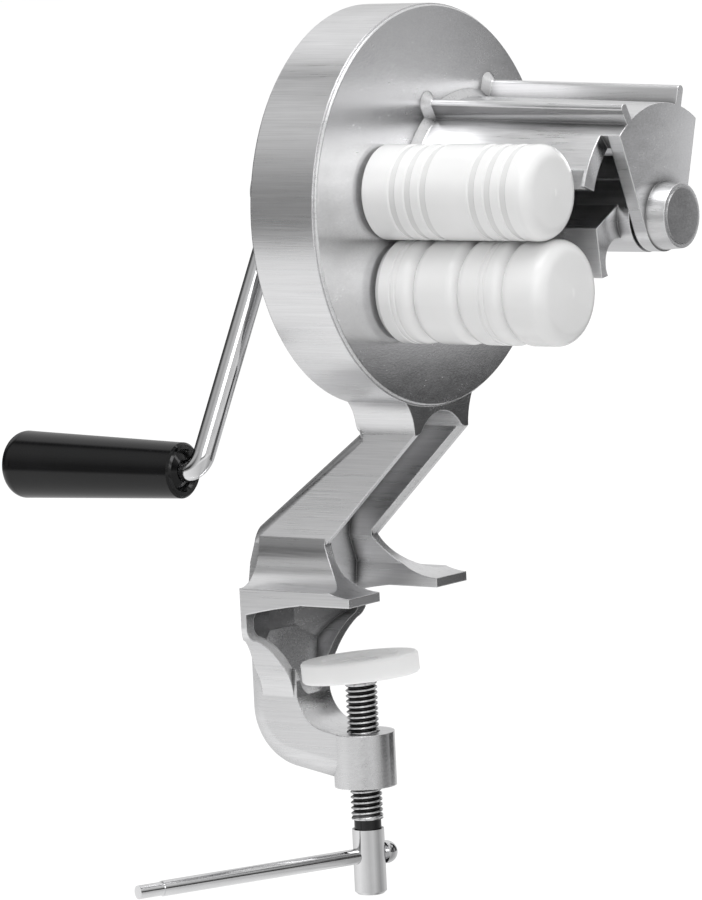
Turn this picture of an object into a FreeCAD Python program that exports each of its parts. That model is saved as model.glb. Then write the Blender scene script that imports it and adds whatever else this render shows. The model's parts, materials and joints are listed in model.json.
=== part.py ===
import FreeCAD, Part
import math
import os

os.makedirs("parts", exist_ok=True)

# Frame: millimetres, Z up, X along the roller axes away from the crank, Y across the machine.
# The origin is on the clamp screw's axis, level with the underside of the jaw fingers.

# Gear case and cover
case_radius = 58.0
case_bottom_z = 55.8
case_rear_x = 11.3
case_depth = 23.2
case_wall = 4.0
case_back_wall = 5.0
case_edge_chamfer = 0.8
cover_lip = 1.0
cover_lip_step = 0.4
cover_spigot = 4.0
cover_screw_count = 6
cover_screw_inset = 6.0
cover_screw_radius = 2.0
cover_screw_head_radius = 3.5
cover_screw_head_height = 1.6
cover_screw_bite = 3.0
cover_screw_first_angle = 15.0
cover_lug_radius = 4.0

# Shaft positions from the case centre, as shares of the case radius across and up
top_roller_across = -0.4138
top_roller_rise = 0.1
roller_pair_tilt = 10.7
rotor_across = 0.3069
rotor_rise = -0.0724

# Rollers
top_roller_radius = 13.6
bottom_roller_radius = 15.1
roller_nip = 0.38
roller_face_gap = 1.0
top_roller_length = 57.2
bottom_roller_length = 58.0
roller_end_round = 4.5
roller_dome = 0.6
roller_end_wall = 9.0
ridge_back_land = 9.2
ridge_front_land = 3.1
ridge_pitch = 5.3
ridge_groove = 2.6
ridge_depth = 0.45
ridge_count = 3
lobe_count = 4
first_lobe_width = 12.5
lobe_notch_depth = 2.3
lobe_round = 3.6
lobe_line_width = 0.9
lobe_line_depth = 0.3

# Hood, end plate and outboard boss
hood_rotor_gap = 1.9
hood_wall = 5.1
hood_lip_angle = -70.5
hood_front_angle = -41.0
hood_back_angle = 34.8
hood_length = 60.3
skirt_angle = 70.0
skirt_length = 52.0
hood_root_growth = 2.2
fan_face = 66.8
fan_thickness = 4.2
boss_root_radius = 10.2
boss_end_radius = 9.2
boss_end = 72.6
cap_rim = 1.2
cap_depth = 1.6
cap_proud = 0.3
rib_angles = (-30.0, 17.3)
rib_thickness = 2.6
rib_height = 5.8
fillet_size = 2.2
hood_roller_gap = 0.7

# Cutter rotor
rotor_hub_radius = 10.4
rotor_roller_gap = 0.77
rotor_end = 57.5
rotor_hub_end = 61.6
blade_edge_share = 0.844
blade_edge_angle = 185.2
blade_tip_angle = 220.1
blade_tip_width = 3.0
blade_root_angle = 158.0
blade_pocket_angle = 213.0
blade_count = 2

# Shafts, bushes and gears
drive_shaft_radius = 5.0
roller_shaft_radius = 5.0
rotor_shaft_radius = 4.0
bush_wall = 2.0
bush_reach = 4.0
running_fit = 0.04
press_fit = 0.03
shaft_end_gap = 0.5
drive_teeth = 36
pinion_teeth = 24
roller_teeth = 19
gear_backlash = 0.2
rear_gear_gap = 1.0
rear_gear_width = 4.6
front_gear_gap = 1.4
front_gear_width = 5.0
pressure_angle = 20.0

# Crank
crank_plane_x = -2.5
crank_direction = (-0.338, -0.941)
crank_throw = 82.9
crank_lean = 9.0
crank_rod_radius = 3.25
crank_bend = 6.0
rod_shaft_gap = 0.8
crank_hub_radius = 8.0
crank_hub_length = 15.0
crank_washer_thickness = 1.0
shaft_boss_radius = 10.5
shaft_boss_height = 3.0
rotor_boss_radius = 8.5
rotor_boss_height = 2.0
set_screw_radius = 2.4
set_screw_head_radius = 4.0
set_screw_head_height = 3.5
grip_length = 62.0
grip_near_radius = 8.1
grip_far_radius = 9.85
grip_round = 5.0
grip_bore_gap = 0.08
grip_end_gap = 0.3
grip_cap_radius = 6.2
grip_cap_depth = 6.0
grip_washer_thickness = 1.2
rivet_radius = 4.4
rivet_height = 1.8

# Neck and jaw
neck_front_x = 33.2
throat_z = 48.5
throat_half_width = 13.4
flare_spread = 5.1
arch_gap = 1.5
neck_low_half_width = 13.0
neck_foot_spread = 1.3
neck_front_slope = 4.5
neck_wall = 3.0
channel_bevel = 1.3
neck_rear_inset = 1.2
neck_rear_round = 3.0
neck_bend_x = -25.5
neck_bend_z = 20.3
neck_rear_low_x = -28.4
neck_front_low_x = -1.0
neck_front_low_z = 15.2
web_depth = 10.5
jaw_tip_x = 18.7
jaw_half_width = 29.5
jaw_gap_half = 14.3
jaw_tip_thickness = 2.7
jaw_side_height = 4.2
jaw_crown_z = 9.5
jaw_roof_half_width = 17.3
jaw_roof_z = 8.3
jaw_roof_top_z = 17.5
jaw_rear_x = -25.0
jaw_rear_slope = 4.3
finger_root_rise = 4.0
jaw_shoulder_x = -20.6

# Yoke, spine, lower arm and screw boss
spine_back_x = -37.0
spine_front_x = -17.6
spine_half_width = 8.3
spine_round = 6.8
yoke_rim = 3.0
yoke_round = 4.6
outer_curve = 13.0
inner_curve = 10.3
yoke_front_x = -18.7
yoke_side_depth = 7.5
yoke_bottom_z = -26.0
hollow_top_z = -3.6
brace_length = 20.0
hollow_floor_z = -12.0
hollow_tip_z = -31.0
screw_boss_radius = 9.2
screw_boss_top = -41.5
screw_boss_bottom = -57.5

# Clamp screw, pad and bar
screw_radius = 4.76
screw_bore_gap = 0.08
screw_neck_radius = 3.0
screw_neck_top = -21.6
screw_thread_top = -25.9
screw_thread_bottom = -67.4
screw_collar_bottom = -70.4
screw_collar_radius = 4.0
screw_head_radius = 4.75
screw_head_bottom = -89.8
pad_radius = 17.4
pad_top = -19.2
pad_thickness = 6.2
pad_recess_radius = 11.5
pad_recess_depth = 1.0
pad_edge = 0.6
pad_tilt = 4.83
pad_tilt_axis = (-0.042, 0.999)
socket_radius = 6.0
socket_height = 2.2
socket_gap = 0.6
socket_rim_gap = 0.25
bar_radius = 2.3
bar_z = -78.3
bar_direction = (-0.366, -0.931)
bar_reach = 79.0
bar_end_step = 8.0
bar_end_radius = 2.0
ball_radius = 3.4
ball_centre = 5.9
ball_seat_gap = 0.3

# How far cutting tools run past the faces that they cut
overshoot = 1.0

# Derived positions
V = FreeCAD.Vector
case_front_x = case_rear_x + case_depth
ring_front_x = case_front_x - cover_lip
spigot_back_x = ring_front_x - cover_spigot
cavity_back_x = case_rear_x + case_back_wall
cavity_radius = case_radius - case_wall
case_centre_z = case_bottom_z + case_radius
cover_screw_circle = case_radius - cover_screw_inset
top_roller_y = top_roller_across * case_radius
top_roller_z = case_centre_z + top_roller_rise * case_radius
rotor_y = rotor_across * case_radius
rotor_z = case_centre_z + rotor_rise * case_radius
roller_spacing = top_roller_radius + bottom_roller_radius + roller_nip
bottom_roller_y = top_roller_y + roller_spacing * math.sin(math.radians(roller_pair_tilt))
bottom_roller_z = top_roller_z - roller_spacing * math.cos(math.radians(roller_pair_tilt))
rotor_roller_spacing = math.hypot(bottom_roller_y - rotor_y, bottom_roller_z - rotor_z)
rotor_tip_radius = rotor_roller_spacing - bottom_roller_radius - rotor_roller_gap
blade_edge_radius = blade_edge_share * rotor_tip_radius
hood_inner_radius = rotor_tip_radius + hood_rotor_gap
hood_outer_radius = hood_inner_radius + hood_wall
rib_tip_radius = hood_outer_radius + rib_height
roller_back_x = case_front_x + roller_face_gap
top_roller_front_x = roller_back_x + top_roller_length
bottom_roller_front_x = roller_back_x + bottom_roller_length
rear_gear_x0 = cavity_back_x + rear_gear_gap
rear_gear_x1 = rear_gear_x0 + rear_gear_width
front_gear_x0 = rear_gear_x1 + front_gear_gap
front_gear_x1 = front_gear_x0 + front_gear_width
shaft_boss_x = case_rear_x - shaft_boss_height
crank_hub_front_x = shaft_boss_x - crank_washer_thickness
crank_hub_back_x = crank_hub_front_x - crank_hub_length
fan_x1 = case_front_x + fan_face
fan_x0 = fan_x1 - fan_thickness
boss_x1 = case_front_x + boss_end
rotor_x0 = case_front_x + roller_face_gap
rotor_x1 = case_front_x + rotor_end
rotor_hub_x1 = case_front_x + rotor_hub_end


# Shape helpers
def cylinder_x(radius, x0, x1, y, z):
    return Part.makeCylinder(radius, x1 - x0, V(x0, y, z), V(1, 0, 0))


def cylinder_z(radius, z0, z1):
    return Part.makeCylinder(radius, z1 - z0, V(0, 0, z0), V(0, 0, 1))


def through_x(radius, x0, x1, y, z):
    """A cutting cylinder along X that runs past both ends."""
    return cylinder_x(radius, x0 - overshoot, x1 + overshoot, y, z)


def through_z(radius, z0, z1):
    """A cutting cylinder along Z that runs past both ends."""
    return cylinder_z(radius, z0 - overshoot, z1 + overshoot)


def outline(path, place):
    """A closed wire. An entry holding two points is an arc: its middle point and its end point."""
    edges = []
    start = place(*path[0])
    for entry in list(path[1:]) + [path[0]]:
        if isinstance(entry[0], tuple):
            middle = place(*entry[0])
            end = place(*entry[1])
            edges.append(Part.Arc(start, middle, end).toShape())
        else:
            end = place(*entry)
            if end.distanceToPoint(start) > 1e-6:
                edges.append(Part.makeLine(start, end))
        start = end
    return Part.Wire(edges)


def prism_x(path, x0, x1):
    face = Part.Face(outline(path, lambda y, z: V(x0, y, z)))
    return face.extrude(V(x1 - x0, 0, 0))


def prism_y(path, y0, y1):
    face = Part.Face(outline(path, lambda x, z: V(x, y0, z)))
    return face.extrude(V(0, y1 - y0, 0))


def prism_z(path, z0, z1):
    face = Part.Face(outline(path, lambda x, y: V(x, y, z0)))
    return face.extrude(V(0, 0, z1 - z0))


def turned_x(path, y, z):
    """A solid turned about the X line through y, z from a path of x and radius."""
    face = Part.Face(outline(path, lambda x, r: V(x, y, z + r)))
    return face.revolve(V(0, y, z), V(1, 0, 0), 360)


def turned_z(path):
    face = Part.Face(outline(path, lambda r, z: V(r, 0, z)))
    return face.revolve(V(0, 0, 0), V(0, 0, 1), 360)


def mirrored(path):
    """A left half outline, bottom to top, closed by its mirror image in Y."""
    right = []
    points = list(path)
    for index in range(len(points) - 1, -1, -1):
        entry = points[index]
        if isinstance(entry[0], tuple):
            start = points[index - 1]
            start = start[1] if isinstance(start[0], tuple) else start
            if not right:
                right.append((-entry[1][0], entry[1][1]))
            right.append(((-entry[0][0], entry[0][1]), (-start[0], start[1])))
        elif not right or not isinstance(points[min(index + 1, len(points) - 1)][0], tuple):
            right.append((-entry[0], entry[1]))
    return points + right


def bush(shaft_radius, x0, x1, y, z):
    outer = cylinder_x(shaft_radius + bush_wall, x0, x1, y, z)
    return outer.cut(through_x(shaft_radius + running_fit, x0, x1, y, z))


def bush_hole(shaft_radius, x0, x1, y, z):
    return cylinder_x(shaft_radius + bush_wall + press_fit, x0, x1, y, z)


def gear(teeth, module, x0, x1, y, z, bore, tooth_angle):
    """An involute spur gear with one tooth's middle at tooth_angle, from +Y towards +Z."""
    pressure = math.radians(pressure_angle)
    pitch_radius = module * teeth / 2
    base_radius = pitch_radius * math.cos(pressure)
    tip_radius = pitch_radius + module
    root_radius = pitch_radius - 1.25 * module
    start_radius = max(base_radius, root_radius)
    half_at_pitch = math.pi / (2 * teeth) - gear_backlash / (4 * pitch_radius)
    involute_at_pitch = math.tan(pressure) - pressure
    flank = []
    if root_radius < start_radius:
        flank.append((root_radius, half_at_pitch + involute_at_pitch))
    for step in range(4):
        radius = start_radius + (tip_radius - start_radius) * step / 3
        roll = math.acos(min(1.0, base_radius / radius))
        flank.append((radius, half_at_pitch + involute_at_pitch - (math.tan(roll) - roll)))
    points = []
    for tooth in range(teeth):
        middle = tooth_angle + 2 * math.pi * tooth / teeth
        for radius, half in flank:
            points.append((radius, middle - half))
        for radius, half in reversed(flank):
            points.append((radius, middle + half))
    path = [(y + r * math.cos(a), z + r * math.sin(a)) for r, a in points]
    return prism_x(path, x0, x1).cut(through_x(bore, x0, x1, y, z))


def around_rotor(radius, angle):
    """A point at an angle in degrees from straight up, towards +Y, about the rotor's axis."""
    turn = math.radians(angle)
    return (rotor_y + radius * math.sin(turn), rotor_z + radius * math.cos(turn))


def hood_growth(x):
    """How much further out the tapered hood is at x than at its free end."""
    return hood_root_growth * (fan_x1 - x) / (fan_x1 - case_front_x)


def hood_sector(start, x0, end, x1, root_extra=0):
    """A part of the hood's shell between two angles, thicker at x0 by root_extra."""
    path = [
        (x0, hood_inner_radius + hood_growth(x0)),
        (x1, hood_inner_radius + hood_growth(x1)),
        (x1, hood_outer_radius + hood_growth(x1)),
        (x0, hood_outer_radius + hood_growth(x0) + root_extra),
    ]
    face = Part.Face(outline(path, lambda x, r: V(x, *around_rotor(r, start))))
    return face.revolve(V(0, rotor_y, rotor_z), V(-1, 0, 0), end - start)


# Body casting
drum = cylinder_x(case_radius, case_rear_x, ring_front_x, 0, case_centre_z)
rear_edges = [e for e in drum.Edges if abs(e.BoundBox.XMax - case_rear_x) < 1e-6 and e.Closed]
drum = drum.makeChamfer(case_edge_chamfer, rear_edges)

flare_half_width = throat_half_width + flare_spread
flare_z = case_centre_z - math.sqrt(case_radius**2 - flare_half_width**2) + case_edge_chamfer
flare_middle = (-throat_half_width - 0.22 * flare_spread, throat_z + 0.55 * (flare_z - throat_z))
neck_top_z = flare_z + 0.37 * flare_spread
neck_front_view = mirrored([
    (-neck_low_half_width - neck_foot_spread, 0),
    (-neck_low_half_width, neck_front_low_z),
    (-throat_half_width, throat_z),
    (flare_middle, (-flare_half_width, flare_z)),
    (-flare_half_width, neck_top_z),
])
neck_rear_x = case_rear_x + neck_rear_inset
neck_side_view = [
    (neck_rear_x, neck_top_z),
    (neck_rear_x, throat_z),
    (neck_bend_x, neck_bend_z),
    (neck_rear_low_x, jaw_crown_z),
    (jaw_rear_x - jaw_rear_slope, 0),
    (neck_front_low_x - neck_front_slope, 0),
    (neck_front_low_x, neck_front_low_z),
    (neck_front_x, throat_z),
    (neck_front_x, neck_top_z),
]
neck = prism_y(neck_side_view, -jaw_half_width, jaw_half_width)
neck = neck.common(prism_x(neck_front_view, spine_back_x, case_front_x + overshoot))

jaw_front_view = mirrored([
    (-jaw_half_width, 0),
    (-jaw_half_width, jaw_side_height),
    ((-jaw_roof_half_width, jaw_roof_z), (-neck_low_half_width, jaw_roof_top_z)),
])
jaw_plan = [
    (jaw_rear_x, -neck_low_half_width),
    (jaw_shoulder_x, -jaw_half_width),
    (jaw_tip_x, -jaw_half_width),
    (jaw_tip_x, jaw_half_width),
    (jaw_shoulder_x, jaw_half_width),
    (jaw_rear_x, neck_low_half_width),
]
jaw_slope_middle = (
    neck_front_low_x + 0.34 * (jaw_tip_x - neck_front_low_x),
    jaw_tip_thickness + 0.37 * (neck_front_low_z - jaw_tip_thickness),
)
jaw_side_view = [
    (jaw_rear_x, 0),
    (jaw_rear_x, jaw_roof_top_z),
    (neck_front_low_x, jaw_roof_top_z),
    (neck_front_low_x, neck_front_low_z),
    (jaw_slope_middle, (jaw_tip_x, jaw_tip_thickness)),
    (jaw_tip_x, 0),
]
jaw = prism_x(jaw_front_view, jaw_rear_x, jaw_tip_x)
jaw = jaw.common(prism_z(jaw_plan, -overshoot, jaw_roof_top_z + overshoot))
jaw = jaw.common(prism_y(jaw_side_view, -jaw_half_width, jaw_half_width))

front_slope = math.atan2(throat_z - neck_front_low_z, neck_front_x - neck_front_low_x)
web_shift_x = -web_depth * math.sin(front_slope)
web_shift_z = web_depth * math.cos(front_slope)
channel_half_top = throat_half_width - neck_wall
channel_top_x = neck_front_x + web_shift_x
channel_top_z = throat_z + web_shift_z
channel_side_view = [
    (channel_top_x, channel_top_z),
    (neck_front_low_x + web_shift_x, neck_front_low_z + web_shift_z),
    (neck_front_low_x + web_shift_x - 0.24 * web_depth, -overshoot),
    (case_front_x + overshoot, -overshoot),
    (case_front_x + overshoot, channel_top_z),
]
channel_arch_top = case_bottom_z - arch_gap
channel_front_view = [
    (-jaw_gap_half, -overshoot),
    (-jaw_gap_half, jaw_tip_thickness + finger_root_rise),
    (-neck_low_half_width + neck_wall, neck_front_low_z),
    (-channel_half_top, throat_z),
    ((0, channel_arch_top), (channel_half_top, throat_z)),
    (neck_low_half_width - neck_wall, neck_front_low_z),
    (jaw_gap_half, jaw_tip_thickness + finger_root_rise),
    (jaw_gap_half, -overshoot),
]
channel = prism_y(channel_side_view, -jaw_half_width, jaw_half_width)
channel = channel.common(prism_x(channel_front_view, jaw_rear_x, case_front_x + overshoot))
neck = neck.cut(channel)


def on_channel_mouth(edge):
    """Whether an edge of the neck is one of the channel's two long slanted front edges."""
    box = edge.BoundBox
    slanted = box.XLength > web_depth and box.ZLength > web_depth
    inside = abs(box.Center.y) < neck_low_half_width - neck_wall / 2
    return slanted and inside and abs(box.XMax - neck_front_x) < 1e-3


def on_neck_rear(edge):
    """Whether an edge of the neck is one of its two long slanted rear edges."""
    box = edge.BoundBox
    slanted = box.XLength > web_depth and box.ZLength > web_depth
    return slanted and abs(box.XMin - neck_bend_x) < 1e-3


neck = neck.makeChamfer(channel_bevel, [e for e in neck.Edges if on_channel_mouth(e)])
neck = neck.makeFillet(neck_rear_round, [e for e in neck.Edges if on_neck_rear(e)])

yoke_shoulder = (-jaw_half_width + 0.98 * yoke_round, -yoke_side_depth - yoke_round)
yoke_corner = (-jaw_half_width + 0.28 * yoke_round, -yoke_side_depth - 0.7 * yoke_round)
yoke_foot_z = yoke_bottom_z - 1.1 * yoke_round
yoke_knee = (-spine_half_width - 1.13 * yoke_round, yoke_bottom_z + 1.09 * yoke_round)
yoke_waist = (-spine_half_width - 1.85 * yoke_round, yoke_bottom_z + 1.85 * yoke_round)
yoke_front_view = mirrored([
    (-spine_half_width, yoke_foot_z),
    ((-spine_half_width - 0.28 * yoke_round, yoke_bottom_z), yoke_knee),
    (yoke_waist, yoke_shoulder),
    (yoke_corner, (-jaw_half_width, -yoke_side_depth)),
    (-jaw_half_width, 0),
])
yoke_plan = [
    (spine_back_x + spine_round, -spine_half_width - yoke_rim),
    (jaw_shoulder_x, -jaw_half_width),
    (yoke_front_x, -jaw_half_width),
    (yoke_front_x, jaw_half_width),
    (jaw_shoulder_x, jaw_half_width),
    (spine_back_x + spine_round, spine_half_width + yoke_rim),
]
yoke_side_view = [
    (jaw_rear_x - jaw_rear_slope, 0),
    (spine_back_x, -1.3 * yoke_side_depth),
    (spine_back_x, yoke_foot_z),
    (yoke_front_x, yoke_foot_z),
    (yoke_front_x, 0),
]
yoke = prism_x(yoke_front_view, spine_back_x, yoke_front_x)
yoke = yoke.common(prism_z(yoke_plan, yoke_foot_z, overshoot))
yoke = yoke.common(prism_y(yoke_side_view, -jaw_half_width, jaw_half_width))
brace_side_view = [
    (yoke_front_x - yoke_rim / 3, yoke_rim / 3),
    (yoke_front_x - yoke_rim / 3, hollow_top_z),
    (yoke_front_x, hollow_top_z),
    ((yoke_front_x + 0.48 * brace_length, 0.45 * hollow_top_z), (yoke_front_x + brace_length, 0)),
    (yoke_front_x + brace_length, yoke_rim / 3),
]
braces = [
    prism_y(brace_side_view, -jaw_half_width, -jaw_gap_half),
    prism_y(brace_side_view, jaw_gap_half, jaw_half_width),
]
hollow_half_width = spine_half_width - 0.67 * yoke_rim
yoke_hollow_view = mirrored([
    (-0.35 * hollow_half_width, hollow_tip_z),
    ((-0.8 * hollow_half_width, hollow_tip_z + 0.67 * yoke_rim), (-hollow_half_width, yoke_bottom_z)),
    (
        (-spine_half_width - yoke_rim, yoke_bottom_z + 2.37 * yoke_rim),
        (-jaw_half_width + 2.3 * yoke_rim, -yoke_side_depth - 1.15 * yoke_rim),
    ),
    (
        (-jaw_half_width + 1.45 * yoke_rim, -yoke_side_depth - 0.7 * yoke_rim),
        (-jaw_half_width + 1.15 * yoke_rim, -yoke_side_depth),
    ),
    (-jaw_half_width + 1.15 * yoke_rim, hollow_top_z - yoke_rim),
    (
        (-jaw_half_width + 1.4 * yoke_rim, hollow_top_z - 0.3 * yoke_rim),
        (-jaw_half_width + 2.1 * yoke_rim, hollow_top_z),
    ),
])
hollow_back_x = jaw_rear_x - yoke_rim
yoke_hollow_plan = [
    (hollow_back_x, -hollow_half_width),
    (jaw_shoulder_x - yoke_rim / 4, -jaw_half_width + yoke_rim),
    (jaw_tip_x, -jaw_half_width + yoke_rim),
    (jaw_tip_x, jaw_half_width - yoke_rim),
    (jaw_shoulder_x - yoke_rim / 4, jaw_half_width - yoke_rim),
    (hollow_back_x, hollow_half_width),
]
yoke_hollow_side_view = [
    (jaw_tip_x, 0),
    (hollow_back_x, 0),
    (hollow_back_x, hollow_floor_z),
    (spine_front_x, hollow_tip_z),
    (jaw_tip_x, hollow_tip_z),
]
yoke_hollow = prism_x(yoke_hollow_view, spine_back_x, jaw_tip_x)
yoke_hollow = yoke_hollow.common(prism_z(yoke_hollow_plan, hollow_tip_z, 0))
yoke_hollow = yoke_hollow.common(prism_y(yoke_hollow_side_view, -jaw_half_width, jaw_half_width))

boss_height = screw_boss_top - screw_boss_bottom
spine_side_view = [
    (neck_rear_low_x, 0),
    (spine_back_x, -2 * yoke_side_depth),
    (spine_back_x, screw_boss_top + 0.5 * outer_curve),
    (
        (spine_back_x + 0.31 * outer_curve, screw_boss_top - 0.38 * outer_curve),
        (spine_back_x + 1.1 * outer_curve, screw_boss_bottom + 0.36 * outer_curve),
    ),
    (0, screw_boss_bottom + 0.05 * outer_curve),
    (0, screw_boss_top - 0.05 * inner_curve),
    (-0.8 * screw_boss_radius, screw_boss_top + 0.07 * inner_curve),
    (
        (spine_front_x + 0.3 * inner_curve, screw_boss_top + 0.42 * inner_curve),
        (spine_front_x, screw_boss_top + inner_curve),
    ),
    (spine_front_x, 0),
]
spine = prism_y(spine_side_view, -spine_half_width, spine_half_width)


def on_spine_back(edge):
    """Whether an edge of the spine runs along the outside of the clamp's curve."""
    box = edge.BoundBox
    behind = box.Center.x < spine_front_x - spine_half_width and box.ZLength > screw_boss_radius
    below = box.Center.z < screw_boss_bottom + boss_height / 3 and box.XLength > screw_boss_radius
    return box.YLength < 1e-6 and (behind or below)


spine = spine.makeFillet(spine_round, [e for e in spine.Edges if on_spine_back(e)])
screw_boss = cylinder_z(screw_boss_radius, screw_boss_bottom, screw_boss_top)

body = drum.fuse([neck, jaw.cut(channel)])
clamp_frame = yoke.fuse([spine] + braces).cut(yoke_hollow)
body = body.fuse([clamp_frame, screw_boss])
drive_boss = cylinder_x(shaft_boss_radius, shaft_boss_x, case_rear_x + overshoot, top_roller_y, top_roller_z)
rotor_boss_x = case_rear_x - rotor_boss_height
rotor_boss = cylinder_x(rotor_boss_radius, rotor_boss_x, case_rear_x + overshoot, rotor_y, rotor_z)
body = body.fuse([drive_boss, rotor_boss])
body = body.cut(cylinder_x(cavity_radius, cavity_back_x, case_front_x, 0, case_centre_z))

screw_places = []
for number in range(cover_screw_count):
    turn = math.radians(cover_screw_first_angle + 360 * number / cover_screw_count)
    y = cover_screw_circle * math.cos(turn)
    z = case_centre_z + cover_screw_circle * math.sin(turn)
    screw_places.append((y, z))
lugs = [cylinder_x(cover_lug_radius, cavity_back_x - overshoot, spigot_back_x, y, z) for y, z in screw_places]
body = body.fuse(lugs)
holes = [
    through_x(cover_screw_radius + press_fit, case_rear_x, spigot_back_x, y, z)
    for y, z in screw_places
]
rear_hole_x0 = shaft_boss_x - overshoot
rear_hole_x1 = cavity_back_x + overshoot
holes.append(bush_hole(drive_shaft_radius, rear_hole_x0, rear_hole_x1, top_roller_y, top_roller_z))
holes.append(bush_hole(rotor_shaft_radius, case_rear_x, rear_hole_x1, rotor_y, rotor_z))
holes.append(through_z(screw_radius + screw_bore_gap, screw_boss_bottom, screw_boss_top))
body = body.cut(holes).removeSplitter()
body.exportStep("parts/body_casting.step")

# Front cover with hood, end plate and boss
lip_radius = case_radius - cover_lip_step
lip = cylinder_x(lip_radius, ring_front_x, case_front_x, 0, case_centre_z)
lip_edges = [e for e in lip.Edges if abs(e.BoundBox.XMin - case_front_x) < 1e-6 and e.Closed]
lip = lip.makeChamfer(cover_lip_step, lip_edges)
spigot = cylinder_x(cavity_radius - press_fit, spigot_back_x, ring_front_x, 0, case_centre_z)

shell = hood_sector(hood_lip_angle, case_front_x, hood_back_angle, case_front_x + hood_length)
skirt = hood_sector(hood_back_angle - 1, case_front_x, skirt_angle, case_front_x + skirt_length)
crown = hood_sector(hood_front_angle, case_front_x, hood_back_angle, fan_x1)
fillet_x1 = case_front_x + fillet_size
shell_fillet = hood_sector(hood_lip_angle, case_front_x, hood_back_angle, fillet_x1, fillet_size)


def rib_outline(angle, x, grow):
    """The wire round a rib's section at x, wider all round by grow."""
    half = rib_thickness / 2 + grow
    root_z = rotor_z + hood_growth(x) + hood_inner_radius + 2
    tip_z = rotor_z + hood_growth(x) + rib_tip_radius + grow
    path = [
        (rotor_y - half, root_z),
        (rotor_y - half, tip_z - half),
        ((rotor_y, tip_z), (rotor_y + half, tip_z - half)),
        (rotor_y + half, root_z),
    ]
    wire = outline(path, lambda y, z: V(x, y, z))
    wire.rotate(V(0, rotor_y, rotor_z), V(1, 0, 0), -angle)
    return wire


ribs = []
rib_fillets = []
for angle in rib_angles:
    root = rib_outline(angle, case_front_x, 0)
    ribs.append(Part.makeLoft([root, rib_outline(angle, fan_x1, 0)], True, True))
    wide_root = rib_outline(angle, case_front_x, fillet_size)
    rib_fillets.append(Part.makeLoft([wide_root, rib_outline(angle, fillet_x1, 0)], True, True))


def tangent_angle(start_angle, side):
    """Where a line from the fan's corner touches the boss's root circle, in degrees from up."""
    return start_angle + side * math.degrees(math.acos(boss_root_radius / hood_outer_radius))


front_touch = tangent_angle(hood_front_angle, -1)
back_touch = tangent_angle(hood_back_angle, 1)
fan_path = [
    around_rotor(boss_root_radius, front_touch),
    around_rotor(hood_outer_radius, hood_front_angle),
    (
        around_rotor(hood_outer_radius, (hood_front_angle + hood_back_angle) / 2),
        around_rotor(hood_outer_radius, hood_back_angle),
    ),
    around_rotor(boss_root_radius, back_touch),
    (around_rotor(boss_root_radius, 180), around_rotor(boss_root_radius, front_touch)),
]
fan = prism_x(fan_path, fan_x0, fan_x1)
boss = Part.makeCone(
    boss_root_radius, boss_end_radius, boss_x1 - fan_x0, V(fan_x0, rotor_y, rotor_z), V(1, 0, 0)
)
sweep_radius = top_roller_radius + hood_roller_gap
sweep_x1 = top_roller_front_x + overshoot
roller_sweep = cylinder_x(sweep_radius, case_front_x, sweep_x1, top_roller_y, top_roller_z)
hood = shell.fuse([skirt, crown, fan, boss, shell_fillet] + ribs + rib_fillets).cut(roller_sweep)
cap_radius = boss_end_radius - cap_rim
outboard_x1 = boss_x1 - cap_depth
cover = lip.fuse([spigot, hood])
cover_hole_x0 = spigot_back_x - overshoot
cover_hole_x1 = case_front_x + 2 * overshoot
cover_holes = [
    bush_hole(drive_shaft_radius, cover_hole_x0, cover_hole_x1, top_roller_y, top_roller_z),
    bush_hole(roller_shaft_radius, cover_hole_x0, cover_hole_x1, bottom_roller_y, bottom_roller_z),
    bush_hole(rotor_shaft_radius, cover_hole_x0, cover_hole_x1, rotor_y, rotor_z),
    bush_hole(rotor_shaft_radius, fan_x0 - overshoot, outboard_x1, rotor_y, rotor_z),
    cylinder_x(cap_radius + press_fit, outboard_x1, boss_x1 + overshoot, rotor_y, rotor_z),
]
for y, z in screw_places:
    cover_holes.append(
        cylinder_x(cover_screw_radius + press_fit, cover_hole_x0, spigot_back_x + cover_screw_bite, y, z)
    )
cover = cover.cut(cover_holes).removeSplitter()
cover.exportStep("parts/front_cover.step")

boss_cap = cylinder_x(cap_radius, outboard_x1, boss_x1 + cap_proud, rotor_y, rotor_z)
boss_cap.exportStep("parts/boss_cap.step")

screws = []
for y, z in screw_places:
    shank = cylinder_x(cover_screw_radius, case_rear_x, spigot_back_x + cover_screw_bite, y, z)
    head = cylinder_x(cover_screw_head_radius, case_rear_x - cover_screw_head_height, case_rear_x, y, z)
    screws.append(shank.fuse(head).removeSplitter())
Part.makeCompound(screws).exportStep("parts/cover_screws.step")

# Bushes
rear_bush = bush(drive_shaft_radius, shaft_boss_x, cavity_back_x, top_roller_y, top_roller_z)
rear_bush.exportStep("parts/drive_rear_bush.step")
cover_bush_x1 = case_front_x + roller_face_gap + bush_reach
drive_cover_bush = bush(drive_shaft_radius, spigot_back_x, cover_bush_x1, top_roller_y, top_roller_z)
drive_cover_bush.exportStep("parts/drive_cover_bush.step")
roller_bush = bush(roller_shaft_radius, spigot_back_x, cover_bush_x1, bottom_roller_y, bottom_roller_z)
roller_bush.exportStep("parts/bottom_roller_bush.step")
rotor_rear_bush = bush(rotor_shaft_radius, case_rear_x, cavity_back_x, rotor_y, rotor_z)
rotor_rear_bush.exportStep("parts/rotor_rear_bush.step")
rotor_cover_bush = bush(rotor_shaft_radius, spigot_back_x, case_front_x, rotor_y, rotor_z)
rotor_cover_bush.exportStep("parts/rotor_cover_bush.step")
rotor_outboard_bush = bush(rotor_shaft_radius, fan_x0, outboard_x1, rotor_y, rotor_z)
rotor_outboard_bush.exportStep("parts/rotor_outboard_bush.step")

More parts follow.
